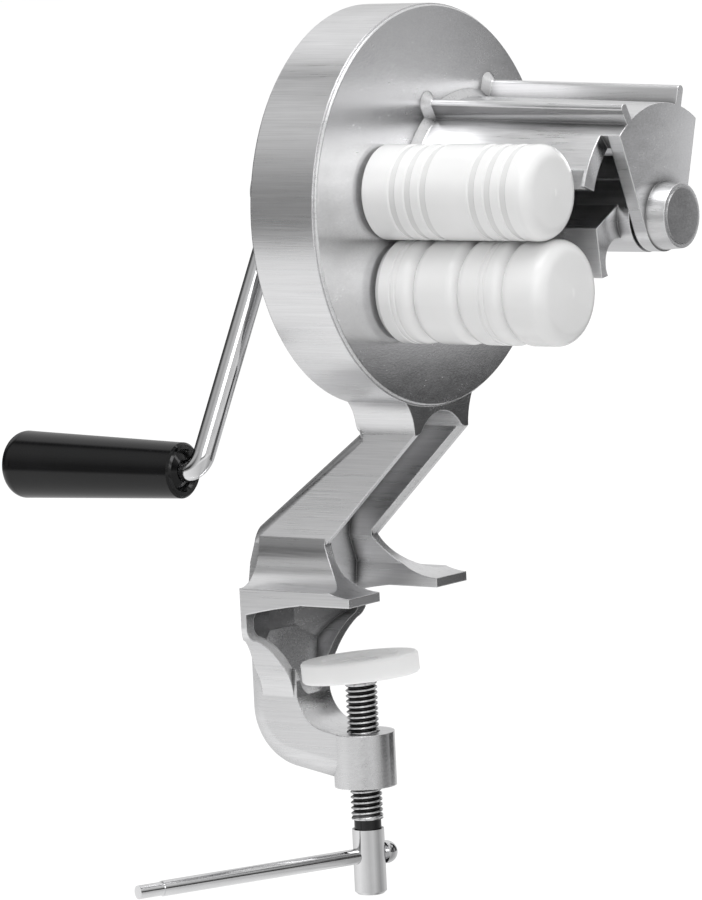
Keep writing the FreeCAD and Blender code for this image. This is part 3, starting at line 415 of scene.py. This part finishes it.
def black_plastic(name):
    """Polished black moulding with faint turning lines."""
    shader = Shader(name)
    lines = shader.noise(GRIP_LINES)
    cloud = shader.noise(GRIP_CLOUDS, detail=3.0)
    shader.set(
        Base_Color=shader.colours(cloud, [(0.3, (0.0012, 0.0012, 0.0014)), (0.7, (0.003, 0.003, 0.0035))]),
        Roughness=shader.level(lines, low=0.1, high=0.2),
        Specular_IOR_Level=0.4,
    )
    shader.bump(lines, 0.005 * MM)
    return shader.material


# Finishes by material slot, and those of the nodes that have one of their own
ALUMINIUM = {"dark": 0.76, "light": 0.92, "roughness": 0.3}
STEEL = {"dark": 0.42, "light": 0.56, "roughness": 0.28}
BRONZE = {"dark": 0.45, "light": 0.62, "roughness": 0.4, "tint": bronze}
slot_finishes = {
    "cast_aluminium": brushed_metal("brushed_aluminium", **ALUMINIUM, hollow_shade_tone=0.75, hollow_shade_reach=8 * MM),
    "steel": brushed_metal("turned_steel", **STEEL, hollow_shade_tone=0.6, hollow_shade_reach=8 * MM),
    "bronze": brushed_metal("sintered_bronze", **BRONZE, hollow_shade_tone=0.6, hollow_shade_reach=8 * MM),
    "bright_chrome": polished_metal("bright_chrome", tone=0.84, roughness=0.1),
    "black_plastic": black_plastic("black_moulding"),
}
node_finishes = {
    # The body's hollows get deeper and wider painted shade
    "body_casting": brushed_metal("rough_casting_and_shade", **ALUMINIUM, hollow_shade_tone=0.5, hollow_shade_reach=14 * MM),
    "front_cover": brushed_metal(
        "ribbed_cover", **ALUMINIUM, hollow_shade_tone=0.75, hollow_shade_reach=8 * MM, rib_base=RIB_BASE
    ),
    "clamp_pad": pad_plastic("pad_moulding"),
    "top_roller": roller_plastic("top_roller_moulding", "top_roller", groove_depth=0.45 * MM),
    "bottom_roller": roller_plastic("bottom_roller_moulding", "bottom_roller", groove_depth=2.3 * MM),
}


def dress(piece, finish):
    piece.data.materials.clear()
    piece.data.materials.append(finish)


for row in frame["record"]["subparts"]:
    node_name = row["node"]
    dress(nodes[node_name], node_finishes.get(node_name) or slot_finishes[row["material_slot"]])


# Pieces that take the place of plainer solids
def bridge(mesh, first, second):
    """Faces between two closed loops that have as many vertices."""
    faces = []
    for side in range(len(first)):
        after = (side + 1) % len(first)
        faces.append(mesh.faces.new((first[side], first[after], second[after], second[side])))
    return faces


def new_piece(name, mesh):
    """A piece made of the edited mesh."""
    bmesh.ops.recalc_face_normals(mesh, faces=mesh.faces)
    data = bpy.data.meshes.new(name)
    mesh.to_mesh(data)
    mesh.free()
    piece = bpy.data.objects.new(name, data)
    scene.collection.objects.link(piece)
    return piece


# Clamp screw with a cut thread
def thread_radius(turn, height):
    """The thread's radius: flat crests and roots with straight flanks between, fading out at both ends."""
    phase = (height / THREAD_PITCH - turn / (2 * math.pi)) % 1.0
    from_root = abs(phase - 0.5) * 2
    shape = min(1.0, max(0.0, (from_root - ROOT_SHARE) / FLANK_SHARE))
    fade = min(1.0, (height - THREAD_BOTTOM) / THREAD_FADE, (THREAD_TOP - height) / THREAD_FADE)
    return THREAD_RADIUS - THREAD_DEPTH * (1 - shape) * max(0.0, fade)


def screw_ring(mesh, radii, height):
    """Vertices round the screw's axis, with a radius for each of the thread's turns."""
    return [
        mesh.verts.new((radius * math.cos(turn), radius * math.sin(turn), height))
        for turn, radius in zip(THREAD_TURNS, radii)
    ]


def threaded_screw():
    """A copy of the screw's solid whose plain shank is exchanged for a threaded one."""
    mesh = bmesh.new()
    mesh.from_mesh(nodes["clamp_screw"].data)
    slack = 0.02 * MM
    shank = [
        face for face in mesh.faces
        if all(THREAD_BOTTOM - slack < v.co.z < THREAD_TOP + slack for v in face.verts)
        and all(math.hypot(v.co.x, v.co.y) > SHANK_INNER_RADIUS for v in face.verts)
    ]
    bmesh.ops.delete(mesh, geom=shank, context="FACES")
    count = int((THREAD_TOP - THREAD_BOTTOM) / THREAD_PITCH * THREAD_ROWS_PER_TURN)
    rows = []
    for row in range(count + 1):
        height = THREAD_BOTTOM + (THREAD_TOP - THREAD_BOTTOM) * row / count
        rows.append(screw_ring(mesh, [thread_radius(turn, height) for turn in THREAD_TURNS], height))
    for low, high in zip(rows, rows[1:]):
        for face in bridge(mesh, low, high):
            face.smooth = True
            face.material_index = THREAD_MATERIAL_INDEX
    for face in mesh.faces:
        heights = [v.co.z for v in face.verts]
        if min(heights) > COLLAR_BOTTOM - slack and max(heights) < THREAD_BOTTOM + slack:
            face.material_index = THREAD_MATERIAL_INDEX
    for end, inner_radius in ((rows[0], COLLAR_RING_RADIUS), (rows[-1], NECK_RING_RADIUS)):
        bridge(mesh, end, screw_ring(mesh, [inner_radius] * THREAD_SIDES, end[0].co.z))
    return new_piece("threaded_screw", mesh)


screw = threaded_screw()
screw.data.materials.append(slot_finishes["bright_chrome"])
screw.data.materials.append(thread_metal("thread_steel"))
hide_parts("clamp_screw")
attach(screw, "screw")


# Cover screws with hexagon sockets
def socket_radius(turn):
    """The distance from the socket's middle to its hexagon outline, in the direction of turn."""
    side_turn = math.pi / 3
    return SOCKET_ACROSS / 2 / math.cos((turn % side_turn) - side_turn / 2)


def sink_socket(mesh, head):
    """Close the open end of a screw head, given by its rim, with a socket."""
    middle = sum((v.co for v in head), Vector()) / len(head)
    turns = {v: math.atan2(v.co.z - middle.z, v.co.y - middle.y) for v in head}
    loops = [sorted(head, key=turns.get)]
    for depth in (0.0, SOCKET_DEPTH):
        loop = []
        for v in loops[0]:
            reach = socket_radius(turns[v])
            sunk = Vector((depth, reach * math.cos(turns[v]), reach * math.sin(turns[v])))
            loop.append(mesh.verts.new(middle + sunk))
        loops.append(loop)
    for wide, narrow in zip(loops, loops[1:]):
        bridge(mesh, wide, narrow)
    mesh.faces.new(loops[-1])


def socketed_screws():
    """A copy of the cover screws with a hexagon socket sunk into each head."""
    mesh = bmesh.new()
    mesh.from_mesh(nodes["cover_screws"].data)
    slack = 0.01 * MM
    bmesh.ops.remove_doubles(mesh, verts=mesh.verts, dist=slack)
    outer_x = min(v.co.x for v in mesh.verts)
    rims = [v for v in mesh.verts if v.co.x < outer_x + slack]
    caps = [face for face in mesh.faces if all(v.co.x < outer_x + slack for v in face.verts)]
    bmesh.ops.delete(mesh, geom=caps, context="FACES")
    while rims:
        head = [v for v in rims if (v.co - rims[0].co).length < 2 * SCREW_HEAD_RADIUS + slack]
        rims = [v for v in rims if v not in head]
        sink_socket(mesh, head)
    return new_piece("socketed_screws", mesh)


cover_screws = socketed_screws()
dress(cover_screws, slot_finishes["steel"])
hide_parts("cover_screws")
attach(cover_screws, "frame")

# Stage: floor, room, reflection card and lamps

# The walls' and the floor's tones, by degrees to the left of the room's front. Low down the walls have dark
# panels in front, on both sides and at the left of the rear. Higher up there is one narrow dark panel
ROOM_LOW = [
    (-180, 0.6), (-150, 0.8), (-118, 0.68), (-100, 0.42), (-88, 0.04), (-50, 0.04), (-42, 0.63), (-20, 0.63),
    (-11, 0.1), (11, 0.1), (20, 0.63), (36, 0.55), (48, 0.3), (55, 0.03), (66, 0.03), (73, 0.34), (98, 0.25),
    (115, 0.05), (162, 0.04), (172, 0.5), (180, 0.6),
]
ROOM_HIGH = [
    (-180, 0.77), (-118, 0.77), (-100, 0.68), (-60, 0.63), (32, 0.63), (60, 0.61), (95, 0.56),
    (108, 0.42), (116, 0.12), (126, 0.12), (137, 0.77), (180, 0.77),
]
NEAR_FLOOR = [
    (-180, 0.6), (-128, 0.6), (-97, 0.4), (-74, 0.26), (-55, 0.36), (-30, 0.58), (0, 0.5), (20, 0.62),
    (53, 0.8), (74, 0.92), (100, 0.86), (128, 0.74), (180, 0.6),
]
FAR_FLOOR = [
    (-180, 0.5), (-97, 0.6), (-60, 0.7), (-20, 0.85), (20, 0.8), (40, 0.5), (55, 0.2), (90, 0.18),
    (110, 0.1), (162, 0.04), (172, 0.4), (180, 0.5),
]

# Distances between which the near floor fades into the far one, and rises of a direction between which the
# low walls fade into the high ones, and those into the ceiling
FLOOR_CHANGE = (0.6, 1.0)
WALL_CHANGE = (0.18, 0.58)
CEILING_CHANGE = (0.84, 0.95)
CEILING_TONE = 0.65

# The floor lies clear of the clamp screw's head where the screw is wound right down
SCREW_DROP = 6 * MM
FLOOR_SIZE = 12.0
FLOOR_WHITE = 1.12
FLOOR_GLOW_SHARE = 0.85

# A card that is seen in the faces along the roller axes, with tones from its foot up and from side to side
CARD_PLACE = (0.15, 0.145, 0.05)
CARD_TARGET = (0.03, -0.018, 0.05)
CARD_WIDTH = 0.34
CARD_HEIGHT = 0.3
CARD_TONES = [
    (0.0, 0.3), (0.27, 0.27), (0.36, 0.09), (0.495, 0.03), (0.53, 0.72), (0.62, 0.75), (0.74, 0.85),
    (0.82, 0.55), (1.0, 0.36),
]
CARD_SIDE_TONES = [
    (0.38, 0.35), (0.412, 0.15), (0.43, 0.9), (0.45, 1.0), (0.55, 0.95), (0.58, 0.5), (0.62, 0.2),
]

LAMP_TARGET = (0.02, 0.0, 0.09)


def room_stops(tones):
    """Ramp stops for tones listed by bearing."""
    return [(degrees / 360 + 0.5, (tone, tone, tone)) for degrees, tone in tones]


def card_stops(tones):
    """Ramp stops for tones listed by their share of the card's height or width."""
    return [(share, grey(tone)) for share, tone in tones]


def aimed(place, target):
    """A matrix at place whose -Z looks at the target."""
    away = (Vector(place) - Vector(target)).normalized()
    return Matrix.Translation(place) @ away.to_track_quat("Z", "Y").to_matrix().to_4x4()


def plane(name, width, height, matrix, material):
    data = bpy.data.meshes.new(name)
    x = width / 2
    y = height / 2
    data.from_pydata([(-x, -y, 0), (x, -y, 0), (x, y, 0), (-x, y, 0)], [], [(0, 1, 2, 3)])
    data.materials.append(material)
    piece = bpy.data.objects.new(name, data)
    piece.matrix_world = matrix
    scene.collection.objects.link(piece)
    return piece


def floor_white(name):
    """White with shadows for the camera, and the room's floor tones in reflections."""
    shader = Shader(name)
    shader.set(Base_Color=(0.9, 0.9, 0.9, 1.0), Roughness=0.9)
    place = shader.coordinates("Object")
    around = shader.bearing(place)
    sheen = shader.blend(
        shader.level(shader.vector("LENGTH", place)["Value"], 0.0, 1.0, *FLOOR_CHANGE),
        shader.colours(around, room_stops(NEAR_FLOOR)),
        shader.colours(around, room_stops(FAR_FLOOR)),
    )
    path = shader.node("ShaderNodeLightPath").outputs
    strength = shader.blend(path["Is Camera Ray"], sheen, FLOOR_WHITE)
    glow = shader.node("ShaderNodeEmission", {"Strength": strength}).outputs[0]
    seen = shader.math("MAXIMUM", path["Is Camera Ray"], path["Is Glossy Ray"])
    shader.show(shader.choose(shader.product(seen, FLOOR_GLOW_SHARE), shader.surface.outputs[0], glow))
    return shader.material


def studio_room(name):
    """A world that is plain white for the camera and has the room's tones for everything else."""
    world = bpy.data.worlds.new(name)
    world.use_nodes = True
    sky = NodeTree(world.node_tree, "World Output")
    way = sky.coordinates("Generated")
    around = sky.bearing(way)
    rise = sky.parts(way)["Z"]
    walls = sky.mix(
        sky.level(rise, 0.0, 1.0, *WALL_CHANGE),
        sky.colours(around, room_stops(ROOM_LOW)),
        sky.colours(around, room_stops(ROOM_HIGH)),
    )
    ceiling = (CEILING_TONE, CEILING_TONE, CEILING_TONE, 1.0)
    room = sky.tree.nodes["Background"]
    sky.fill(room.inputs["Color"], sky.mix(sky.level(rise, 0.0, 1.0, *CEILING_CHANGE), walls, ceiling))
    white = sky.node("ShaderNodeBackground", {"Color": (1, 1, 1, 1)})
    seen = sky.node("ShaderNodeLightPath").outputs["Is Camera Ray"]
    sky.show(sky.choose(seen, room.outputs[0], white.outputs[0]))
    return world


def card_light(name):
    shader = Shader(name)
    spot = shader.parts(shader.coordinates("Generated"))
    tone = shader.colours(spot["Y"], card_stops(CARD_TONES))
    strength = shader.colours(spot["X"], card_stops(CARD_SIDE_TONES))
    shader.show(shader.node("ShaderNodeEmission", {"Color": tone, "Strength": strength}).outputs[0])
    return shader.material


def lamp(name, place, size, power):
    data = bpy.data.lights.new(name, "AREA")
    data.size = size
    data.energy = power
    piece = bpy.data.objects.new(name, data)
    piece.matrix_world = aimed(place, LAMP_TARGET)
    scene.collection.objects.link(piece)


floor_place = Matrix.Translation((0, 0, cad_box[0].z - SCREW_DROP))
plane("floor", FLOOR_SIZE, FLOOR_SIZE, floor_place, floor_white("floor_white"))
scene.world = studio_room("studio")

# Only reflections see the card
card = plane("card_right", CARD_WIDTH, CARD_HEIGHT, aimed(CARD_PLACE, CARD_TARGET), card_light("card_right"))
card.visible_camera = False
card.visible_diffuse = False
card.visible_shadow = False

lamp("key", place=(0.2, -0.3, 1.5), size=1.2, power=13.0)
lamp("front", place=(0.9, -1.3, 0.6), size=0.8, power=3.5)

# Camera
back = Vector((
    math.sin(CAMERA_AZIMUTH) * math.cos(CAMERA_ELEVATION),
    -math.cos(CAMERA_AZIMUTH) * math.cos(CAMERA_ELEVATION),
    math.sin(CAMERA_ELEVATION),
))
right = Vector((math.cos(CAMERA_AZIMUTH), math.sin(CAMERA_AZIMUTH), 0.0))
up = back.cross(right)
rolled_right = right * math.cos(CAMERA_ROLL) + up * math.sin(CAMERA_ROLL)
rolled_up = up * math.cos(CAMERA_ROLL) - right * math.sin(CAMERA_ROLL)
turn = Matrix((rolled_right, rolled_up, back)).transposed().to_4x4()
camera_data = bpy.data.cameras.new("camera")
camera_data.sensor_fit = "VERTICAL"
camera_data.sensor_height = CAMERA_SENSOR
camera_data.lens = CAMERA_LENS
camera = bpy.data.objects.new("camera", camera_data)
camera.matrix_world = Matrix.Translation(CAMERA_TARGET + back * CAMERA_DISTANCE) @ turn
scene.collection.objects.link(camera)
scene.camera = camera
scene.view_settings.view_transform = "Standard"
